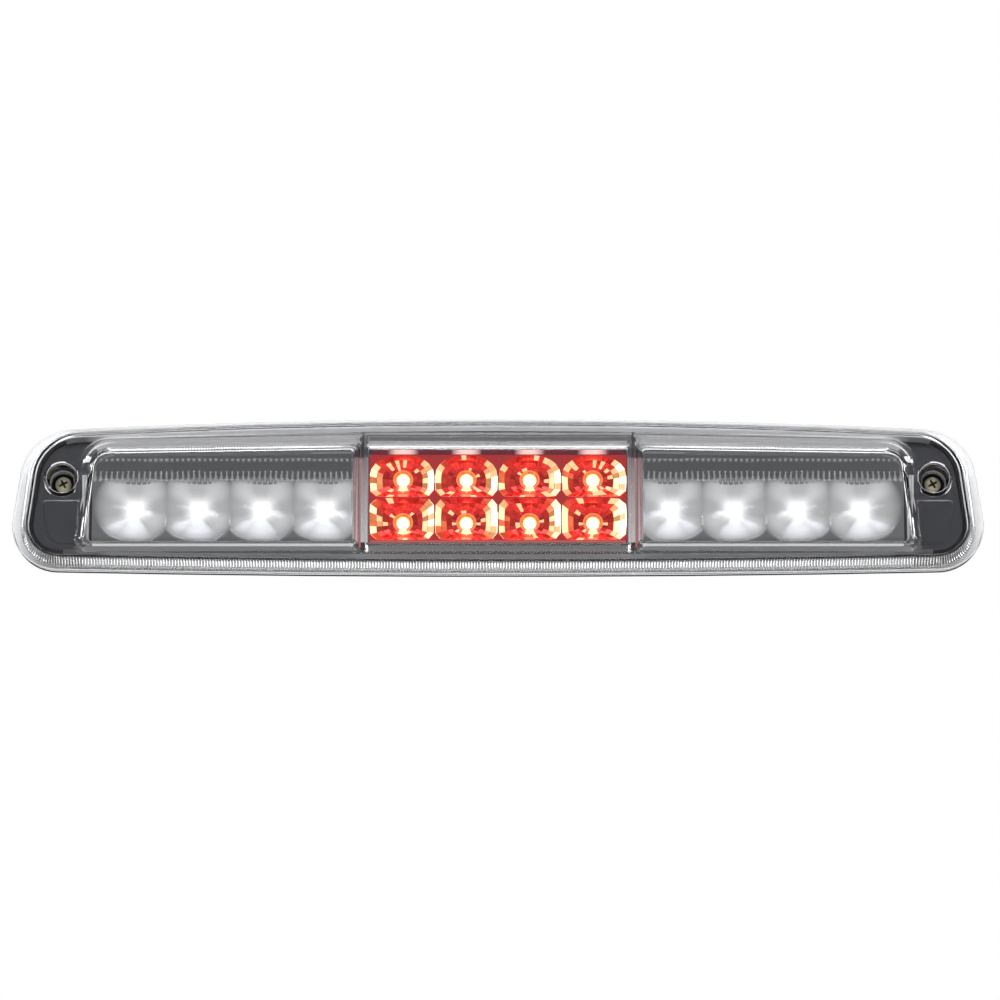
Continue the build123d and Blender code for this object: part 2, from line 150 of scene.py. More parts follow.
def rounded(corners, radii, steps=10):
    """Points round a four-sided shape with round corners, always the same number."""
    loop = []
    count = len(corners)
    for i in range(count):
        p, before, after = (Vector(corners[j % count]) for j in (i, i - 1, i + 1))
        a, b = (before - p).normalized(), (after - p).normalized()
        half = a.angle(b) / 2
        radius = max(radii[i], 0.05)
        reach = radius / math.tan(half)
        centre = p + (a + b).normalized() * (radius / math.sin(half))
        start, end = p + a * reach - centre, p + b * reach - centre
        turn = start.angle_signed(end)
        for k in range(steps + 1):
            t = k / steps
            c, s = math.cos(-turn * t), math.sin(-turn * t)
            loop.append(centre + Vector((start.x * c - start.y * s, start.x * s + start.y * c)))
    return loop


def ring(x, z, radius, steps=64):
    """Points on a circle."""
    angles = [math.tau * i / steps for i in range(steps)]
    return [Vector((x + radius * math.cos(a), z + radius * math.sin(a))) for a in angles]


def mix(a, b, t):
    """The loop that lies at t between two loops."""
    return [p.lerp(q, t) for p, q in zip(a, b)]


def place(loop, depth):
    """A loop of points set at one depth, in metres."""
    return [at(p.x, p.y, depth) for p in loop]


def bend(start, knee, end, steps=5):
    """Rings that turn smoothly from one ring to another round a third."""
    rings = []
    for k in range(steps + 1):
        t = k / steps
        first, second, third = (1 - t) ** 2, 2 * t * (1 - t), t * t
        rings.append([first * a + second * b + third * c for a, b, c in zip(start, knee, end)])
    return rings


class Shell:
    """A mesh put together from bands between rings and flat fills, then welded."""

    def __init__(self):
        self.bm = bmesh.new()

    def band(self, rings, smooth=False):
        rows = [[self.bm.verts.new(p) for p in ring_points] for ring_points in rings]
        count = len(rows[0])
        for low, high in zip(rows, rows[1:]):
            for i in range(count):
                j = (i + 1) % count
                face = self.bm.faces.new((low[i], low[j], high[j], high[i]))
                face.smooth = smooth

    def quad(self, a, b, c, d, smooth=False):
        self.bm.faces.new([self.bm.verts.new(p) for p in (a, b, c, d)]).smooth = smooth

    def pane(self, a, b, c, d, seam, lift):
        """A four-sided panel raised a little from a narrow seam round it."""
        middle = (a + b + c + d) / 4
        out = (b - a).cross(d - a).normalized() * lift * MM
        if out.y > 0:
            out = -out
        top = [p.lerp(middle, seam) + out for p in (a, b, c, d)]
        rim = [a, b, c, d]
        self.quad(*top)
        for i in range(4):
            j = (i + 1) % 4
            self.quad(rim[i], rim[j], top[j], top[i])

    def triangle(self, a, b, c, smooth=False):
        self.bm.faces.new([self.bm.verts.new(p) for p in (a, b, c)]).smooth = smooth

    def tube(self, rings, gone):
        """A closed four-sided tube through four rings, left out where gone is true."""
        rows = [[self.bm.verts.new(p) for p in ring_points] for ring_points in rings]
        count = len(gone)
        for i in range(count):
            j = (i + 1) % count
            if gone[i] or gone[j]:
                continue
            for a in range(4):
                b = (a + 1) % 4
                self.bm.faces.new((rows[a][i], rows[a][j], rows[b][j], rows[b][i]))
            for end, is_end in ((i, gone[i - 1]), (j, gone[(j + 1) % count])):
                if is_end:
                    self.bm.faces.new([row[end] for row in rows])
        loose = [v for row in rows for v in row if not v.link_faces]
        bmesh.ops.delete(self.bm, geom=loose, context="VERTS")

    def fill(self, outer, *holes):
        points = [p for loop in (outer, *holes) for p in loop]
        flat = [[Vector((p.x, p.z, 0)) for p in loop] for loop in (outer, *holes)]
        verts = [self.bm.verts.new(p) for p in points]
        for triangle in tessellate_polygon(flat):
            self.bm.faces.new([verts[i] for i in triangle])

    def done(self, name, weld=2e-6):
        bmesh.ops.remove_doubles(self.bm, verts=self.bm.verts, dist=weld)
        bmesh.ops.dissolve_degenerate(self.bm, edges=self.bm.edges, dist=1e-7)
        bmesh.ops.recalc_face_normals(self.bm, faces=self.bm.faces)
        open_edges = sum(1 for e in self.bm.edges if len(e.link_faces) != 2)
        print("piece", name, len(self.bm.verts), "verts", open_edges, "open edges")
        mesh = bpy.data.meshes.new(name)
        self.bm.to_mesh(mesh)
        self.bm.free()
        obj = bpy.data.objects.new(name, mesh)
        bpy.context.scene.collection.objects.link(obj)
        return obj


# ---------------------------------------------------------------- the blocks that stand on the plateau
SIDE_LOW = dict(
    inner=66.6, bottom=-38.6, outer_low=210.0, outer_high=206.6,
    outer_top=20.4, inner_top=23.1, radii=(2.4, 6.5, 17.0, 2.4),
)
SIDE_HIGH = dict(
    inner=70.0, bottom=-35.2, outer_low=204.2, outer_high=199.4,
    outer_top=12.4, inner_top=14.5, radii=(2.6, 4.0, 8.0, 2.6),
)
CENTRE_LOW = dict(half=66.2, top=23.2, bottom=-38.6)
CENTRE_HIGH = dict(half=65.2, top=15.1, bottom=-35.6)


def side_loop(s, by, side):
    corners = [
        (s["inner"] + by, s["bottom"] + by),
        (s["outer_low"] - by, s["bottom"] + by),
        (s["outer_high"] - by, s["outer_top"] - by),
        (s["inner"] + by, s["inner_top"] - by),
    ]
    loop = rounded(corners, [r - 0.5 * by for r in s["radii"]])
    return [Vector((p.x * side, p.y)) for p in loop]


def centre_loop(s, by):
    half, top, bottom = s["half"] - by, s["top"] - by, s["bottom"] + by
    return rounded([(-half, bottom), (half, bottom), (half, top), (-half, top)], [1.4 - 0.5 * by] * 4)


def block(shell, loop, low, high, base, front, wall, front_inset, edge=1.3):
    """The walls and front of one block. Returns the ring that it cuts from the plateau."""
    bottom, top = place(loop(low, wall), base), place(loop(high, front_inset), front)
    rise = [a.lerp(b, 0.14) for a, b in zip(bottom, top)]
    brow = [a.lerp(b, 0.86) for a, b in zip(bottom, top)]
    foot = place(loop(low, wall - edge), base)
    face = place(loop(high, front_inset + edge), front)
    shell.band(bend(foot, bottom, rise), smooth=True)
    shell.band([rise, brow])
    shell.band(bend(brow, top, face), smooth=True)
    shell.fill(face)
    return foot


def skirt_ring(t, deep):
    """The skirt's outline at t from its foot to the dome, with the flutes' valleys cut this deep."""
    spread = -SKIRT_FLARE * (1 - t)
    ridge, valleys = bowed(inset(DOME, spread))
    if not deep:
        return ridge
    low = bowed(inset(DOME, spread + deep))[0]
    return [a.lerp(b, v) for a, b, v in zip(ridge, low, valleys)]


def skirt_depth(t):
    return SKIRT_FOOT + t * (PLATEAU - SKIRT_FOOT)


def two_skins(shell, loop, low, high, front):
    """A block's outside and inside. Returns the rings that they cut from the plateau's two faces."""
    outside = block(shell, loop, low, high, PLATEAU, front, 0, 0)
    inside = block(shell, loop, low, high, LENS_INSIDE, front - LENS_WALL, LENS_WALL, 1.2, 0.4)
    return outside, inside


def screw_well(shell, x):
    """A screw's well with its rounded mouth and floor. Returns its rings on the plateau's two faces."""
    mouth_r, floor_r, bore, tube = 7.4, 5.9, 3.25, 7.5

    def circle(radius, depth):
        return place(ring(x, 0, radius), depth)

    mouth, throat = circle(mouth_r + 0.6, PLATEAU), circle(mouth_r - 0.1, PLATEAU - 0.7)
    shell.band(bend(mouth, circle(mouth_r, PLATEAU), throat), smooth=True)
    wall_foot, floor = circle(floor_r + 0.1, WELL_FLOOR + 0.6), circle(floor_r - 0.5, WELL_FLOOR)
    shell.band([throat, wall_foot], smooth=True)
    shell.band(bend(wall_foot, circle(floor_r, WELL_FLOOR), floor, 4), smooth=True)
    shell.band([floor, circle(bore, WELL_FLOOR)])
    shell.band([circle(bore, WELL_FLOOR), circle(bore, WELL_UNDERSIDE)], smooth=True)
    shell.band([circle(bore, WELL_UNDERSIDE), circle(tube, WELL_UNDERSIDE)])
    tube_top = circle(tube + 1.5, LENS_INSIDE)
    shell.band([circle(tube, WELL_UNDERSIDE), tube_top], smooth=True)
    return mouth, tube_top


def lens():
    """The whole clear moulding, with flutes cut round its skirt."""
    shell = Shell()
    lip = bowed(LENS)[0]
    lip_round = 0.4
    lip_in = bowed(inset(LENS, lip_round))[0]
    hollow = bowed(inset(DOME, SKIRT_WALL - SKIRT_FLARE))[0]
    foot = skirt_ring(0.0, FLUTE_DEPTH)
    # Outside, from the back of the lip up over the skirt to the plateau.
    shell.band([place(hollow, LIP_BACK), place(lip_in, LIP_BACK)])
    low, high = place(lip, LIP_BACK + lip_round), place(lip, LIP_FRONT - lip_round)
    shell.band(bend(place(lip_in, LIP_BACK), place(lip, LIP_BACK), low, 3), smooth=True)
    shell.band([low, high])
    shell.band(bend(high, place(lip, LIP_FRONT), place(lip_in, LIP_FRONT), 3), smooth=True)
    shell.band([place(lip_in, LIP_FRONT), place(foot, LIP_FRONT), place(foot, SKIRT_FOOT)])
    fluted = [place(skirt_ring(t, FLUTE_DEPTH), skirt_depth(t)) for t in (0.0, 0.5, 0.93)]
    fluted.append(place(skirt_ring(0.955, 0), skirt_depth(0.955)))
    shell.band(fluted)
    edge = place(bowed(DOME)[0], PLATEAU)
    rolled = place(bowed(inset(DOME, 0.4))[0], PLATEAU)
    shell.band(bend(fluted[-1], edge, rolled, 3), smooth=True)
    plateau_edge = place(bowed(inset(DOME, FOLD))[0], PLATEAU)
    shell.band([rolled, plateau_edge])

    # Blocks and screw wells.
    cuts = [two_skins(shell, centre_loop, CENTRE_LOW, CENTRE_HIGH, CENTRE_FRONT)]
    for side in (-1, 1):
        def loop(s, by):
            return side_loop(s, by, side)

        cuts.append(two_skins(shell, loop, SIDE_LOW, SIDE_HIGH, SIDE_FRONT))
        cuts.append(screw_well(shell, side * SCREW_X))
    shell.fill(plateau_edge, *[outer for outer, inner in cuts])
    # The housing's black rim is welded into the inside corner, so the wall reaches just past its edge.
    corner_low = place(bowed(inset(DOME, 0.6))[0], RIM_UNDERSIDE)
    inner_edge = place(bowed(inset(DOME, 1.55))[0], LENS_INSIDE)
    shell.band([place(hollow, LIP_BACK), place(hollow, LIP_BACK + 0.6), corner_low, inner_edge])
    shell.fill(inner_edge, *[inner for outer, inner in cuts])
    obj = shell.done("clear_lens")

    rim = KDTree(len(edge))
    for i, p in enumerate(edge):
        rim.insert(p, i)
    rim.balance()

    # Painted shade: marks the faces of the band round the lens's front, where the glass is tinted near-black
    # as a painted shade line.
    def painted_edge_shade(point, face):
        at_front = PLATEAU - 0.33 < -face.center.y / MM < PLATEAU + 0.01
        on_painted_edge_shade = at_front and rim.find(face.center)[2] < (FOLD - 0.01) * MM
        return [1.0 if on_painted_edge_shade else 0.0] * 3

    paint(obj, painted_edge_shade, "painted_edge_shade")
    return obj


def seal():
    """The pale fill behind the skirt, ribbed in step with the flutes, with painted shade in its grooves, and
    open at the lower corners.
    """
    shell = Shell()

    def ribbed(by, depth, groove):
        ridge, low = bowed(inset(DOME, by))
        deep = bowed(inset(DOME, by + groove))[0]
        return place([a.lerp(b, min(1.0, v * 1.6)) for a, b, v in zip(ridge, deep, low)], depth)

    foot, top, lug_x, lug_top = 6.0, RIM_UNDERSIDE - 0.1, 204 * MM, -17.5 * MM
    inner = bowed(inset(DOME, 2.1))[0]
    rings = [ribbed(-1.92, foot, 0.8), ribbed(0.54, top, 0.8), place(inner, top), place(inner, foot)]
    shell.tube(rings, [abs(p.x) > lug_x and p.z < lug_top for p in rings[0]])
    # A thin bead lies on the housing's rim between the two ends. It just reaches into the lens.
    bead_back, bead_front, bead_x = RIM_TOP + 0.02, LENS_INSIDE + 0.04, 214 * MM
    section = ((1.5, bead_back), (1.5, bead_front), (4.0, bead_front), (4.0, bead_back))
    bead = [place(bowed(inset(DOME, by))[0], depth) for by, depth in section]
    shell.tube(bead, [abs(p.x) > bead_x for p in bead[0]])
    obj = shell.done("ribbed_seal")

    def spot(p):
        return round(p.x, 5), round(p.y, 5), round(p.z, 5)

    # Painted shade: the seal's grooves, under the flutes' valleys, are painted dark through the layer groove.
    valleys = bowed(DOME)[1]
    groove_of = {spot(p): v for loop in rings[:2] for p, v in zip(loop, valleys)}
    layer = obj.data.color_attributes.new("groove", "FLOAT_COLOR", "POINT")
    for v in obj.data.vertices:
        low = groove_of.get(spot(v.co), 0.0)
        if v.co.y < -12 * MM:
            # The bead is grey, and fades to black towards the lamp's ends.
            low = 0.5 if v.co.z < 0 else 0.41
            low += 0.3 * min(1.0, max(0.0, (abs(v.co.x) / MM - 190) / 22))
        layer.data[v.index].color = (low, low, low, 1)
    return obj


# ---------------------------------------------------------------- reflectors
def led_seat(shell, x, z, steps, floor, back, collar=4.9):
    """A raised collar round an LED and the hole that it stands in. Returns the first and last rings."""
    def circle(radius, depth):
        return place(ring(x, z, radius, steps), depth)

    rings = [
        circle(collar, floor),
        circle(collar - 0.2, floor + 0.55),
        circle(collar - 0.55, floor + 0.6),
        circle(collar - 0.8, floor - 0.1),
        circle(3.3, floor - 0.4),
        circle(3.2, back),
    ]
    shell.band(rings)
    return rings[0], rings[-1]


def cup_edge(x, z, upper, steps):
    """Where one brake cup meets the front of the reflector: arched at the top of the upper row."""
    loop = []
    for i in range(steps):
        angle = math.tau * i / steps
        c, s = math.cos(angle), math.sin(angle)
        half_w, half_h = (16.3 if abs(x) > LED_PITCH and c * x > 0 else 15.3), 10.75
        square = min(half_w / max(abs(c), 1e-6), half_h / max(abs(s), 1e-6))
        power = 2.15 if (upper and s > 0) else 7.0
        oval = (abs(c / half_w) ** power + abs(s / half_h) ** power) ** (-1 / power)
        reach = min(square, oval)
        loop.append(Vector((x + reach * c, z + reach * s)))
    return loop


def brake_reflector():
    """Eight faceted cups in one block, open round each LED."""
    shell = Shell()
    steps, floor = CUP_STEPS, CUP_FLOOR + 0.5
    outline = rounded([(-63.4, -32.9), (63.4, -32.9), (63.4, 11.4), (-63.4, 11.4)], [0.8] * 4, 4)
    holes, back_holes = [], []
    for column in range(4):
        for row, z in enumerate(BRAKE_ROWS):
            x = LED_PITCH * (column - 1.5)
            edge = cup_edge(x, z, row == 0, steps)
            seat, hole = led_seat(shell, x, z, steps, floor, REFLECTOR_BACK)
            inner = [Vector((p.x / MM, p.z / MM)) for p in seat]
            rings = []
            for t, depth in ((0.0, floor), (0.22, 10.5), (0.46, 11.7), (0.72, 13.6), (1.0, BRAKE_RIM)):
                rings.append(place(mix(inner, edge, t), depth))
            for low, high in zip(rings, rings[1:]):
                for k in range(steps):
                    shell.pane(low[k], low[(k + 1) % steps], high[(k + 1) % steps], high[k], 0.09, 0.08)
            holes.append(rings[-1])
            back_holes.append(hole)
    shell.fill(place(outline, BRAKE_RIM), *holes)
    shell.band([place(outline, BRAKE_RIM), place(outline, REFLECTOR_BACK)])
    shell.fill(place(outline, REFLECTOR_BACK), *back_holes)
    return shell.done("brake_cups")


CARGO_LEFT_EDGE, CARGO_RIGHT_EDGE, CARGO_LOW = 70.8, 199.6, -33.8


def cargo_top(x):
    """Height of the cargo reflector's top edge at x."""
    top = 13.6 - 1.2 * (x - CARGO_LEFT_EDGE) / (CARGO_RIGHT_EDGE - CARGO_LEFT_EDGE)
    radius, centre = 10.0, CARGO_RIGHT_EDGE - 10.0
    if x > centre:
        top += math.sqrt(max(radius ** 2 - (x - centre) ** 2, 0)) - radius
    return top


def nearest_led(x, z):
    """Distance and angle from the closest white LED."""
    leds = [CARGO_FIRST + LED_PITCH * i for i in range(4)]
    led = min(leds, key=lambda p: abs(p - x))
    return math.hypot(x - led, z - CARGO_ROW), math.atan2(z - CARGO_ROW, x - led)


def on_tooth(x, z):
    """True on the teeth along the foot of the hood and on the row of dots along its top."""
    across = abs((x / 2.7) % 1.0 - 0.5)
    if -2.8 < z < 3.0:
        return across < 0.10 + 0.2 * (3.0 - z) / 5.8
    return 8.3 < z < 9.4 and across < 0.26


def cargo_depth(x, z):
    """How far in front of the panel the cargo reflector's surface is."""
    reach, angle = nearest_led(x, z)
    depth = CUP_FLOOR + 0.8 + 5.0 * (reach / 16.0) ** 2
    depth += 0.45 * min(1.0, reach / 9) * math.cos(5 * angle + 0.4)
    if z > -1.5:
        depth = min(depth, 14.6 + 0.05 * (z - 2.0))
    if on_tooth(x, z):
        depth = max(depth, 14.6) + 0.9
    border = min(x - CARGO_LEFT_EDGE, CARGO_RIGHT_EDGE - x, z - CARGO_LOW, cargo_top(x) - z)
    if border < 1.2:
        depth = max(depth, CARGO_RIM - 0.2 - 0.6 * border)
    return min(depth, CARGO_RIM)


# The angle and half-width of each pale petal of painted light round a white LED, in radians.
PETALS = ((2.3, 0.34), (3.75, 0.30), (4.75, 0.36), (5.6, 0.24), (0.75, 0.30))


def cargo_glow(x, z):
    """Painted light from the LED that this spot throws forward: a hot middle and five pale petals, and a dim
    painted glow on the hood and the teeth.
    """
    reach, angle = nearest_led(x, z)
    if on_tooth(x, z):
        return 0.26 if z < 5 else 0.20
    if z > 0.5:
        return 0.075
    petal = 0.0
    for centre, width in PETALS:
        away = abs((angle - centre + math.pi) % math.tau - math.pi)
        petal = max(petal, 1 - (away / width / 1.5) ** 2)
    spread = 1 - min(1.0, max(0.0, (reach - 10.5) / 10.0)) ** 2
    hot = math.exp(-(reach / 5.0) ** 2)
    hood = min(1.0, (0.5 - z) / 4.0)
    foot = min(1.0, max(0.0, (z - CARGO_LOW) / 3.0))
    return 0.075 + (0.05 + 0.31 * spread + 0.15 * max(petal, 0.0) * spread + 1.15 * hot) * hood * foot


def cargo_reflector(side):
    """One cargo reflector: four wide bowls that run into each other under a toothed hood."""
    shell = Shell()
    columns, rows = 380, 118
    grid = []
    for i in range(columns + 1):
        x = CARGO_LEFT_EDGE + (CARGO_RIGHT_EDGE - CARGO_LEFT_EDGE) * i / columns
        top = cargo_top(x)
        line = []
        for k in range(rows + 1):
            z = CARGO_LOW + (top - CARGO_LOW) * k / rows
            edge_in = i in (0, columns) or k in (0, rows)
            line.append(at(x * side, z, CARGO_RIM if edge_in else cargo_depth(x, z)))
        grid.append(line)
    for i in range(columns):
        for k in range(rows):
            shell.quad(grid[i][k], grid[i + 1][k], grid[i + 1][k + 1], grid[i][k + 1], True)
    rim = [grid[i][0] for i in range(columns)] + [grid[columns][k] for k in range(rows)]
    rim += [grid[i][rows] for i in range(columns, 0, -1)] + [grid[0][k] for k in range(rows, 0, -1)]
    back = [Vector((p.x, -REFLECTOR_BACK * MM, p.z)) for p in rim]
    shell.band([rim, back])
    shell.fill(back)
    obj = shell.done("cargo_bowls_" + ("right" if side > 0 else "left"))

    # Painted light: the LED's light on the front faces, a pale glow on the end walls, a brighter one on the
    # bottom wall and none on the top wall, and a dim glow on the rest.
    def lit(p, face):
        if face.normal.y < -0.3:
            return [cargo_glow(side * p.x, p.z)] * 3
        if abs(face.normal.y) < 0.01:
            return [0.3 * abs(face.normal.x) - 0.5 * min(0, face.normal.z)] * 3
        return [0.14] * 3

    paint(obj, lit)
    return obj


def paint(obj, rule, layer_name="lit"):
    """Stores on each corner the colour that the rule gives for its point, in millimetres, and its face."""
    layer = obj.data.color_attributes.new(layer_name, "FLOAT_COLOR", "CORNER")
    mesh = obj.data
    for face in mesh.polygons:
        for corner_index in face.loop_indices:
            point = mesh.vertices[mesh.loops[corner_index].vertex_index].co / MM
            layer.data[corner_index].color = (*rule(point, face), 1)


# ---------------------------------------------------------------- LEDs and screws
def turned(shell, x, z, profile, steps=32, smooth=True):
    """A turned shape about the depth axis through (x, z), from (radius, depth) pairs."""
    rings = [place(ring(x, z, radius, steps), depth) for radius, depth in profile]
    shell.band(rings, smooth)
    return rings


def led_set(name, spots):
    """Round LEDs: a flanged base, a straight body and a domed tip."""
    shell = Shell()
    radius, dome_foot = 2.5, 10.3
    for x, z in spots:
        rise = [math.pi / 2 * k / 8 for k in range(8)]
        dome = [(radius * math.cos(a), dome_foot + radius * math.sin(a)) for a in rise]
        profile = [(2.9, 6.1), (2.9, 7.0), (2.55, 7.1), (2.5, 7.2)] + dome
        rings = turned(shell, x, z, profile)
        tip = at(x, z, dome_foot + radius)
        last = rings[-1]
        for i in range(len(last)):
            shell.triangle(last[i], last[(i + 1) % len(last)], tip, True)
        shell.fill(rings[0])
    return shell.done(name)


def screw(name, x):
    """A cross-recessed pan-head screw with a plain shank and a threaded end."""
    shell = Shell()
    steps, rings_in_head = 72, 30
    under, turn = WELL_FLOOR, 0.5
    angles = [math.tau * i / steps for i in range(steps)]

    def crown_depth(r):
        return under + HEAD_HEIGHT - 1.1 * (r / HEAD_R) ** 2

    def head_depth(r, angle):
        crown = crown_depth(r) - max(0.0, (r - 3.4) / 0.6) ** 2 * 0.6
        u, v = r * math.cos(angle), r * math.sin(angle)
        width = 0.62 - 0.06 * r
        slot = min(abs(u), abs(v)) - width
        if r < 2.3:
            crown -= max(0.0, min(1.0, -slot / 0.18)) * (1.5 - 0.3 * r)
        return crown

    previous = None
    for k in range(1, rings_in_head + 1):
        r = HEAD_R * k / rings_in_head
        row = [at(x + r * math.cos(a + turn), r * math.sin(a + turn), head_depth(r, a)) for a in angles]
        if previous is None:
            middle = at(x, 0, head_depth(0, 0))
            for i in range(steps):
                shell.triangle(row[i], row[(i + 1) % steps], middle)
        else:
            for i in range(steps):
                j = (i + 1) % steps
                shell.quad(previous[i], previous[j], row[j], row[i], r > 2.8)
        previous = row

    def circle(r, depth):
        return [at(x + r * math.cos(a + turn), r * math.sin(a + turn), depth) for a in angles]

    shank_top, shank_foot, point_end = circle(SHANK_R, under), circle(SHANK_R, 0.0), circle(1.0, SCREW_END)
    shell.band([previous, circle(HEAD_R, under + 0.35), circle(HEAD_R - 0.2, under), shank_top, shank_foot])
    threads = [shank_foot]
    length, pitch, samples, root_r, thread_height = 14.6, 0.7, 8, 1.64, 0.36
    for k in range(int(length / pitch * samples) + 1):
        depth = -0.2 - k * pitch / samples
        row = []
        for i, a in enumerate(angles):
            phase = (depth / pitch + i / steps) % 1.0
            ridge = 1 - abs(phase - 0.5) * 2
            taper = min(1.0, k / 6, (length + depth + 0.4) / 1.5)
            r = root_r + thread_height * min(1.0, ridge * 1.25) * max(taper, 0.0)
            row.append(at(x + r * math.cos(a + turn), r * math.sin(a + turn), depth))
        threads.append(row)
    threads.append(point_end)
    shell.band(threads)
    shell.fill(point_end)
    obj = shell.done(name)

    def painted_recess_shade(point, face):
        """Painted shade: dark in the cross-recess."""
        reach = math.hypot(point.x - x, point.z)
        sunk = point.y > -(crown_depth(reach) - 0.35) and reach < 2.4 and point.y < -under
        return [1.0 if sunk else 0.0] * 3

    paint(obj, painted_recess_shade, "painted_recess_shade")
    return obj


# ---------------------------------------------------------------- bezel under the lens
# The ribs beside the windows: across from, across to, bottom and top.
RIBS = ((64.4, 69.8, -32.6, 11.0), (201.4, 204.3, -33.0, 2.0))
RIB_HEIGHT, RIB_SLOPE, RIB_STEPS = 0.9, 0.7, 40
# Height and depth round the section of the brow over the brake window, and half its length.
BROW = ((13.0, 11.5), (14.8, 13.7), (15.4, 13.7), (17.2, 11.5))
BROW_HALF = 62


def ridge(shell, stations):
    """A three-sided ridge through these sections. Returns the outline of its foot."""
    for one, two in zip(stations, stations[1:]):
        for i in range(3):
            shell.quad(one[i], one[i + 1], two[i + 1], two[i])
    for end in (stations[0], stations[-1]):
        shell.quad(*end)
    return [line[0] for line in stations] + [line[3] for line in reversed(stations)]


def bezel():
    """The glossy plate round the windows, with a rolled outer edge, lands, ribs and a brow."""
    shell = Shell()
    front, back, roll = BEZEL_FRONT, BEZEL_BACK, 0.7
    outside = [bowed(inset(DOME, 3.3 + by))[0][::3] for by in (0.0, roll)]
    shoulder = place(outside[0], front - roll)
    shell.band([place(outside[0], back), shoulder])
    shell.band(bend(shoulder, place(outside[0], front), place(outside[1], front)), smooth=True)
    holes, back_holes = [], []
    windows = [rounded([(-63.8, -33.3), (63.8, -33.3), (63.8, 11.8), (-63.8, 11.8)], [1.0] * 4, 5)]
    for side in (-1, 1):
        corners = [(70.4, -34.2), (200.4, -34.2), (199.8, 12.8), (70.4, 14.0)]
        loop = rounded(corners, [1.0, 1.0, 9.0, 1.0], 8)
        windows.append([Vector((p.x * side, p.y)) for p in loop])
        windows.append(ring(side * SCREW_X, 0, 9.3, 48))
    lands = []
    for side in (-1, 1):
        def land(by):
            inner, low, high = 204.8 + by, -33.6 + by, -10.5 - by
            corners = [(inner, low), (221.4 - by, low), (225.0 - by, high), (inner, high)]
            loop = rounded(corners, [1.5, 8.0, 2.0, 1.5], 8)
            return [Vector((p.x * side, p.y)) for p in loop]

        foot = place(land(0.0), front)
        top = place(land(0.8), front + 0.5)
        shell.band(bend(foot, place(land(0.5), front + 0.1), top, 5), smooth=True)
        shell.fill(top)
        lands.append(foot)
    # A polished brow over the brake window, with a painted reflection of each LED on it as a pale streak.
    places = range(-BROW_HALF, BROW_HALF + 1)
    lands.append(ridge(shell, [[at(x, z, depth) for z, depth in BROW] for x in places]))
    for side in (-1, 1):
        for inner, outer, low, high in RIBS:
            crest = front + RIB_HEIGHT
            section = ((inner, front), (inner + RIB_SLOPE, crest), (outer - RIB_SLOPE, crest), (outer, front))
            heights = [low + (high - low) * k / RIB_STEPS for k in range(RIB_STEPS + 1)]
            lands.append(ridge(shell, [[at(side * x, z, depth) for x, depth in section] for z in heights]))
    for loop in windows:
        holes.append(place(loop, front))
        back_holes.append(place(loop, back))
        shell.band([holes[-1], back_holes[-1]])
    shell.fill(place(outside[1], front), *holes, *lands)
    shell.fill(place(outside[0], back), *back_holes)
    return shell.done("bezel_plate")


# ---------------------------------------------------------------- materials
def material(name, colour, rough=0.5, metal=0.0, **more):
    """A new material and its Principled shader."""
    mat = bpy.data.materials.new(name)
    mat.use_nodes = True
    shader = mat.node_tree.nodes["Principled BSDF"]
    shader.inputs["Base Color"].default_value = (*colour, 1)
    shader.inputs["Roughness"].default_value = rough
    shader.inputs["Metallic"].default_value = metal
    for key, value in more.items():
        shader.inputs[key.replace("_", " ")].default_value = value
    return mat, mat.node_tree, shader


def speckle(tree, shader, scale, low, high, bump=0.0, detail=4.0):
    """Noise that varies the roughness between two values and lifts the surface a little."""
    place_node = tree.nodes.new("ShaderNodeTexCoord")
    noise = tree.nodes.new("ShaderNodeTexNoise")
    noise.inputs["Scale"].default_value = scale
    noise.inputs["Detail"].default_value = detail
    ramp = tree.nodes.new("ShaderNodeMapRange")
    ramp.inputs["To Min"].default_value = low
    ramp.inputs["To Max"].default_value = high
    tree.links.new(place_node.outputs["Object"], noise.inputs["Vector"])
    tree.links.new(noise.outputs["Fac"], ramp.inputs["Value"])
    tree.links.new(ramp.outputs["Result"], shader.inputs["Roughness"])
    if bump:
        lift = tree.nodes.new("ShaderNodeBump")
        lift.inputs["Strength"].default_value = bump
        lift.inputs["Distance"].default_value = 0.0002
        tree.links.new(noise.outputs["Fac"], lift.inputs["Height"])
        tree.links.new(lift.outputs["Normal"], shader.inputs["Normal"])
    return noise


def painted(tree, layer):
    """The node that reads a colour layer painted on the mesh."""
    node = tree.nodes.new("ShaderNodeAttribute")
    node.attribute_name = layer
    return node


def two_tones(tree, shader, layer, low, high, positions=(0.0, 1.0)):
    """Base colour between two tones by a painted layer."""
    tone = tree.nodes.new("ShaderNodeValToRGB")
    for stop, position, colour in zip(tone.color_ramp.elements, positions, (low, high)):
        stop.position, stop.color = position, (*colour, 1)
    tree.links.new(painted(tree, layer).outputs["Fac"], tone.inputs["Fac"])
    tree.links.new(tone.outputs["Color"], shader.inputs["Base Color"])


def glowing(tree, shader, strength):
    """Painted light: emission in the colour painted in the layer "lit"."""
    tree.links.new(painted(tree, "lit").outputs["Color"], shader.inputs["Emission Color"])
    shader.inputs["Emission Strength"].default_value = strength


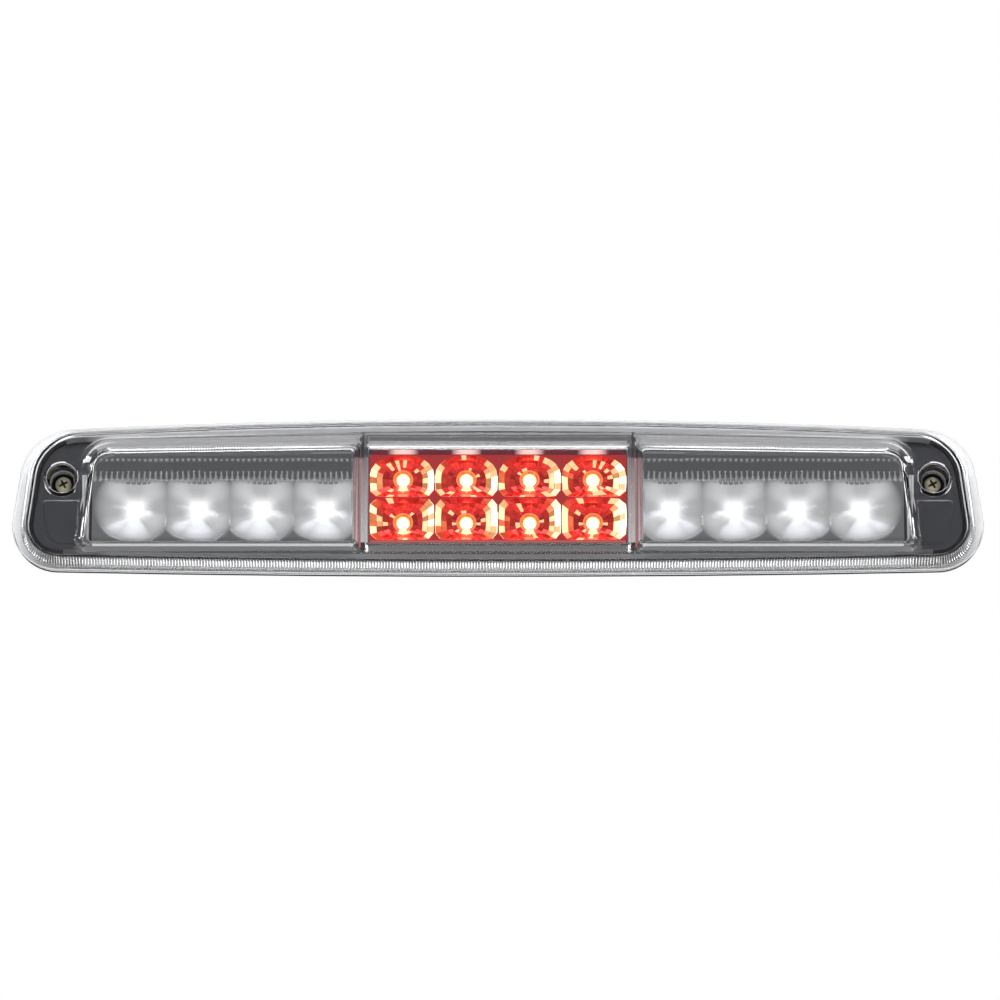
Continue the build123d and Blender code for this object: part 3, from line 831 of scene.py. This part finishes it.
def clear_plastic():
    """Clear acrylic that lets lamps through. Its bend between the skirt and the front is painted near-black
    as painted shade.
    """
    colour = (0.985, 0.99, 0.995)
    mat, tree, shader = material("clear_plastic", colour, 0.01, Transmission_Weight=1.0, IOR=1.5)
    out = tree.nodes["Material Output"]
    path = tree.nodes.new("ShaderNodeLightPath")
    clear = tree.nodes.new("ShaderNodeBsdfTransparent")
    clear.inputs["Color"].default_value = (0.96, 0.97, 0.98, 1)
    blend = tree.nodes.new("ShaderNodeMixShader")
    # Painted shade: near-black glass colour on the marked band round the front.
    two_tones(tree, shader, "painted_edge_shade", colour, (0.02, 0.02, 0.022))
    tree.links.new(path.outputs["Is Shadow Ray"], blend.inputs["Fac"])
    tree.links.new(shader.outputs[0], blend.inputs[1])
    tree.links.new(clear.outputs[0], blend.inputs[2])
    tree.links.new(blend.outputs[0], out.inputs["Surface"])
    return mat


def give(obj, mat):
    """This material and no other."""
    obj.data.materials.clear()
    obj.data.materials.append(mat)


def stands_for(obj, mat, slot, *names):
    """A finished piece in place of these CAD nodes."""
    give(obj, mat)
    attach(obj, "root")
    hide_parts(*names)


def brake_glow(point, face):
    """The light painted on a facet of a brake cup, by where it sits: pale painted highlights at the two
    sides, red above and below.
    """
    c = face.center / MM
    x, z = min(brake_spots, key=lambda p: (p[0] - c.x) ** 2 + (p[1] - c.z) ** 2)
    dx, dz = c.x - x, c.z - z
    reach, angle = math.hypot(dx, dz), math.atan2(dz, dx)
    facet, row = int((angle + math.pi) / math.tau * CUP_STEPS), int(reach / 3.2)
    dice = math.sin(facet * 12.9898 + x * 0.37 + z * 1.7 + row * 4.1) * 43758.5453
    dice -= math.floor(dice)
    # Painted light on the block's outer walls: pinkish grey at the ends, red along the bottom and almost none
    # on top.
    if abs(c.x) > 63.3:
        return 0.42, 0.37, 0.37
    if c.z < -32.8:
        return 0.75, 0.2, 0.18
    if c.z > 11.3:
        return 0.03, 0.0, 0.0
    if face.normal.y < -0.985 and reach > 5.3:
        return 0.55, 0.06, 0.065
    # A painted reflection of the LED: a pale blob just below it.
    below = math.hypot(dx / 2.1, (dz + 5.0) / 1.9)
    if reach > 3.2 and below < 1:
        return 2.4, 1.9, 1.0
    # A painted highlight round the rim of the LED's collar.
    if 4.2 < reach < 5.0:
        return 1.3, 0.42, 0.30
    if reach < 5.3:
        return 1.0, 0.22 + 0.3 * dice, 0.02
    # Painted shade on the narrow seams round the facets, and pale painted highlights on facets near the cup's
    # sides, a few more at random.
    seam = 0.4 if face.area < 0.4e-6 else 1.0
    side, rise = abs(dx) / 15.0, abs(dz) / 10.5
    pale = max(0.0, side - (0.70 if dx < 0 else 0.62)) * 4.6 * max(0.0, 1 - rise ** 4)
    if dx < 0:
        pale *= 0.75 if dice > 0.45 else 0.1
    else:
        pale *= 1.3 if dice > 0.25 else 0.35
    if dice > 0.9:
        pale = max(pale, 0.5)
    red = (0.32 + 0.75 * dice) * (1 - 0.3 * min(1.0, rise))
    return [seam * v for v in (red + 2.2 * pale, 0.08 * red + 2.5 * pale, 0.06 * red + 1.5 * pale ** 1.3)]


clear = clear_plastic()
stands_for(lens(), clear, "lens_clear", "outer_lens")

housing, tree, shader = material("housing_plastic", (0.010, 0.010, 0.011), 0.45, Specular_IOR_Level=0.12)
speckle(tree, shader, 900, 0.5, 0.7, 0.2)
give(nodes["rear_housing"], housing)
silicone, tree, shader = material("seal_silicone", (0.82, 0.83, 0.84), 0.4)
speckle(tree, shader, 300, 0.3, 0.5, 0.2)
# Painted shade: dark in the seal's grooves, by the layer groove. The bead's grey and black come from the same
# layer.
two_tones(tree, shader, "groove", (0.62, 0.63, 0.64), (0.06, 0.06, 0.065), (0.25, 0.6))
stands_for(seal(), silicone, "seal_silicone", "lens_seal")
rubber, tree, shader = material("gasket_rubber", (0.012, 0.012, 0.012), 0.75)
speckle(tree, shader, 1500, 0.6, 0.9, 0.4)
give(nodes["panel_gasket"], rubber)
foam, tree, shader = material("pad_foam", (0.86, 0.86, 0.85), 0.9)
speckle(tree, shader, 1200, 0.8, 1.0, 0.8)
give(nodes["foam_pad"], foam)


def stretched(tree, shader, axis_scale, low, high):
    """Fine streaks along one axis, as on drawn or turned steel."""
    noise = speckle(tree, shader, 1.0, low, high, 0.1, 2.0)
    spread = tree.nodes.new("ShaderNodeMapping")
    spread.inputs["Scale"].default_value = axis_scale
    coords = next(node for node in tree.nodes if node.type == "TEX_COORD")
    tree.links.new(coords.outputs["Object"], spread.inputs["Vector"])
    tree.links.new(spread.outputs["Vector"], noise.inputs["Vector"])


def circuit_board():
    """Solder mask over a grid of copper tracks."""
    mat, tree, shader = material("board_mask", (0.75, 0.78, 0.75), 0.4)
    speckle(tree, shader, 400, 0.32, 0.5, 0.1)
    coords = next(node for node in tree.nodes if node.type == "TEX_COORD")
    turn = tree.nodes.new("ShaderNodeMapping")
    turn.inputs["Rotation"].default_value = (math.radians(90), 0, 0)
    tracks = tree.nodes.new("ShaderNodeTexBrick")
    tracks.inputs["Scale"].default_value = 60
    tracks.inputs["Mortar Size"].default_value = 0.03
    tracks.inputs["Color1"].default_value = (0.80, 0.82, 0.79, 1)
    tracks.inputs["Color2"].default_value = (0.74, 0.77, 0.74, 1)
    tracks.inputs["Mortar"].default_value = (0.50, 0.46, 0.34, 1)
    tree.links.new(coords.outputs["Object"], turn.inputs["Vector"])
    tree.links.new(turn.outputs["Vector"], tracks.inputs["Vector"])
    tree.links.new(tracks.outputs["Color"], shader.inputs["Base Color"])
    return mat


def speckled(name, colour, rough, metal, scale, low, high, bump):
    """A plain material with speckled roughness."""
    mat, tree, shader = material(name, colour, rough, metal)
    speckle(tree, shader, scale, low, high, bump)
    return mat


board_mask = circuit_board()
chip = speckled("chip_epoxy", (0.02, 0.02, 0.022), 0.5, 0, 2500, 0.4, 0.65, 0.3)
nylon = speckled("header_nylon", (0.86, 0.85, 0.80), 0.4, 0, 600, 0.3, 0.5, 0.15)
fitted = speckled("fitting_rubber", (0.016, 0.016, 0.017), 0.7, 0, 1300, 0.55, 0.85, 0.35)
steel, tree, shader = material("bright_steel", (0.62, 0.62, 0.63), 0.3, 1.0)
stretched(tree, shader, (900, 60, 900), 0.22, 0.42)
drawn, tree, shader = material("sleeve_steel", (0.48, 0.48, 0.50), 0.35, 1.0)
stretched(tree, shader, (700, 40, 700), 0.28, 0.5)
FINISHES = {
    "_board_screws": steel,
    "_board": board_mask,
    "_resistors": chip,
    "_diode": chip,
    "_header": nylon,
    "mounting_sleeve": drawn,
    "screw_seal": fitted,
    "_grommet": fitted,
    "vent_cap": fitted,
}
for name, node in nodes.items():
    for part_name, finish in FINISHES.items():
        if part_name in name:
            give(node, finish)
            break

gloss, tree, shader = material("bezel_gloss", (0.045, 0.045, 0.05), 0.1)
speckle(tree, shader, 60, 0.07, 0.16)
plate = bezel()


def rib_glow(across, point, face):
    """Painted light from the windows on the rib beside them: next to the brake window reddish and brighter
    further down, next to a cargo window brighter further up, and brighter on the rib's sloped sides.
    """
    if abs(face.normal.z) >= 0.5:
        return 0.0, 0.0, 0.0
    drop = min(1.0, max(0.0, (11.0 - point.z) / 44))
    inner = across < 100
    bright = 0.14 + 0.36 * drop ** 0.7 if inner else 0.42 - 0.2 * drop
    bright *= 1.5 if abs(face.normal.x) > 0.3 else 1.0
    warm = 0.8 + 0.18 * drop if inner else 1.0
    return bright, bright * warm, bright * warm


def bezel_glow(point, face):
    """Painted light: the ribs get painted light from the windows, and the brow a painted reflection of each
    LED below it as a pale streak.
    """
    across, height, depth = abs(face.center.x) / MM, face.center.z / MM, -face.center.y / MM
    if depth > 11.9 and (64 < across < 70.5 or 201 < across < 204.5):
        return rib_glow(across, point, face)
    on_brow = 13.0 < depth < 13.6 or 13.2 < height < 14.6
    if not on_brow or abs(face.normal.z) < 0.3:
        return 0.0, 0.0, 0.0
    away = min(abs(point.x - LED_PITCH * (i - 1.5)) for i in range(4))
    streak = max(0.0, 1 - (away / 7.5) ** 2)
    return 0.10 + 1.1 * streak, 0.02 + 0.75 * streak, 0.03 + 0.68 * streak


# Painted light on the ribs and the brow, shown as emission.
paint(plate, bezel_glow)
glowing(tree, shader, 1.0)
stands_for(plate, gloss, "bezel_grey", "bezel")

brake_spots = [(LED_PITCH * (i - 1.5), z) for i in range(4) for z in BRAKE_ROWS]
cups = brake_reflector()
# Painted light: the cups' red base colour stands for chrome lit red by the brake LEDs, and the painted layer
# adds glow and highlights as emission.
paint(cups, brake_glow)
lit, tree, shader = material("brake_chrome_lit", (0.62, 0.03, 0.025), 0.12, 1.0)
glowing(tree, shader, 0.6)
stands_for(cups, lit, "brake_chrome", "brake_reflector")

chrome, tree, shader = material("cargo_chrome", (0.075, 0.078, 0.088), 0.2, 1.0)
speckle(tree, shader, 40, 0.2, 0.3)
# Painted light on the bowls, shown as emission.
glowing(tree, shader, 1.0)
for side, word in ((-1, "left"), (1, "right")):
    stands_for(cargo_reflector(side), chrome, "cargo_chrome", "cargo_reflector_" + word)
    white_spots = [(side * (CARGO_FIRST + LED_PITCH * i), CARGO_ROW) for i in range(4)]
    lamp_white, tree, shader = material("white_led", (1, 1, 1), 0.08)
    shader.inputs["Emission Color"].default_value = (0.93, 0.97, 1, 1)
    shader.inputs["Emission Strength"].default_value = 9
    stands_for(led_set("white_leds_" + word, white_spots), lamp_white, "led_white", "cargo_leds_" + word)
    zinc, tree, shader = material("yellow_zinc", (0.80, 0.72, 0.50), 0.34, 1.0)
    speckle(tree, shader, 700, 0.22, 0.42, 0.15)
    # Painted shade: the screw's cross-recess goes near-black.
    two_tones(tree, shader, "painted_recess_shade", (0.95, 0.88, 0.64), (0.10, 0.085, 0.06))
    stands_for(screw("zinc_screw_" + word, side * SCREW_X), zinc, "screw_zinc", "mounting_screw_" + word)
lamp_red, tree, shader = material("red_led", (0.9, 0.1, 0.05), 0.08)
shader.inputs["Emission Color"].default_value = (1, 0.62, 0.28, 1)
shader.inputs["Emission Strength"].default_value = 6
stands_for(led_set("red_leds", brake_spots), lamp_red, "led_red", "brake_leds")


# ---------------------------------------------------------------- camera, light, floor
def camera():
    """A long lens, looking up at the lamp from below."""
    data = bpy.data.cameras.new("camera")
    data.sensor_width = 36
    distance = 3.0
    width_seen = 0.495
    data.lens = data.sensor_width * distance / width_seen
    data.clip_end = 50
    cam = bpy.data.objects.new("camera", data)
    bpy.context.scene.collection.objects.link(cam)
    tilt = math.radians(17)
    aim = Vector((0.001, 0, -0.0068))
    cam.location = aim + Vector((0, -math.cos(tilt), -math.sin(tilt))) * distance
    cam.rotation_euler = (math.radians(90) + tilt, 0, 0)
    bpy.context.scene.camera = cam


def lamp(name, where, size, power, size_y):
    """An area light aimed at the origin, hidden from the camera."""
    data = bpy.data.lights.new(name, "AREA")
    data.energy = power
    data.size = size
    data.shape = "RECTANGLE"
    data.size_y = size_y
    obj = bpy.data.objects.new(name, data)
    obj.location = where
    obj.rotation_euler = (Vector() - Vector(where)).to_track_quat("-Z", "Y").to_euler()
    obj.visible_camera = False
    bpy.context.scene.collection.objects.link(obj)


def studio():
    """The white backdrop, what the lamp mirrors, the floor and the lights."""
    world = bpy.data.worlds.new("studio")
    world.use_nodes = True
    tree = world.node_tree
    seen = tree.nodes["Background"]
    seen.inputs["Color"].default_value = (1, 1, 1, 1)
    # What the lamp mirrors: a bright ceiling, a dark room in front and a grey floor.
    room = tree.nodes.new("ShaderNodeBackground")
    where = tree.nodes.new("ShaderNodeTexCoord")
    split = tree.nodes.new("ShaderNodeSeparateXYZ")
    ramp = tree.nodes.new("ShaderNodeValToRGB")
    stops = ramp.color_ramp
    stops.elements[0].position, stops.elements[0].color = 0.0, (0.6, 0.6, 0.61, 1)
    stops.elements[1].position, stops.elements[1].color = 1.0, (1.3, 1.3, 1.3, 1)
    for position, value in ((0.36, 0.42), (0.5, 0.12), (0.6, 0.08), (0.74, 0.12), (0.88, 0.6)):
        stops.elements.new(position).color = (value, value, value * 1.03, 1)
    spread = tree.nodes.new("ShaderNodeMapRange")
    spread.inputs["From Min"].default_value = -1
    path = tree.nodes.new("ShaderNodeLightPath")
    # Paths that haven't bounced off anything see the white backdrop straight or through clear plastic.
    bounces = tree.nodes.new("ShaderNodeMath")
    bounces.operation = "ADD"
    either = tree.nodes.new("ShaderNodeMath")
    either.operation = "LESS_THAN"
    either.inputs[1].default_value = 0.5
    blend = tree.nodes.new("ShaderNodeMixShader")
    tree.links.new(where.outputs["Generated"], split.inputs[0])
    tree.links.new(split.outputs["Z"], spread.inputs["Value"])
    tree.links.new(spread.outputs["Result"], ramp.inputs["Fac"])
    tree.links.new(ramp.outputs["Color"], room.inputs["Color"])
    tree.links.new(path.outputs["Glossy Depth"], bounces.inputs[0])
    tree.links.new(path.outputs["Diffuse Depth"], bounces.inputs[1])
    tree.links.new(bounces.outputs[0], either.inputs[0])
    tree.links.new(either.outputs[0], blend.inputs["Fac"])
    tree.links.new(room.outputs[0], blend.inputs[1])
    tree.links.new(seen.outputs[0], blend.inputs[2])
    tree.links.new(blend.outputs[0], tree.nodes["World Output"].inputs["Surface"])
    bpy.context.scene.world = world
    floor_mesh = bpy.data.meshes.new("floor")
    half, drop = 6, -1.3
    corners = [(-half, -half, drop), (half, -half, drop), (half, half, drop), (-half, half, drop)]
    floor_mesh.from_pydata(corners, [], [(0, 1, 2, 3)])
    floor = bpy.data.objects.new("floor", floor_mesh)
    bpy.context.scene.collection.objects.link(floor)
    give(floor, material("pale_floor", (0.9, 0.9, 0.9), 0.6)[0])
    lamp("ceiling", (0, -0.75, 1.15), 1.8, 26, 0.8)
    lamp("overhead", (0, 0.1, 1.3), 1.8, 7, 0.5)
    lamp("left_strip", (-1.25, 0.22, 0.38), 0.18, 6, 1.0)
    lamp("right_strip", (1.25, 0.22, 0.38), 0.18, 6, 1.0)
    lamp("under", (0, 0.35, -1.15), 1.6, 3, 0.35)
    bpy.context.scene.view_settings.view_transform = "Standard"


camera()
studio()
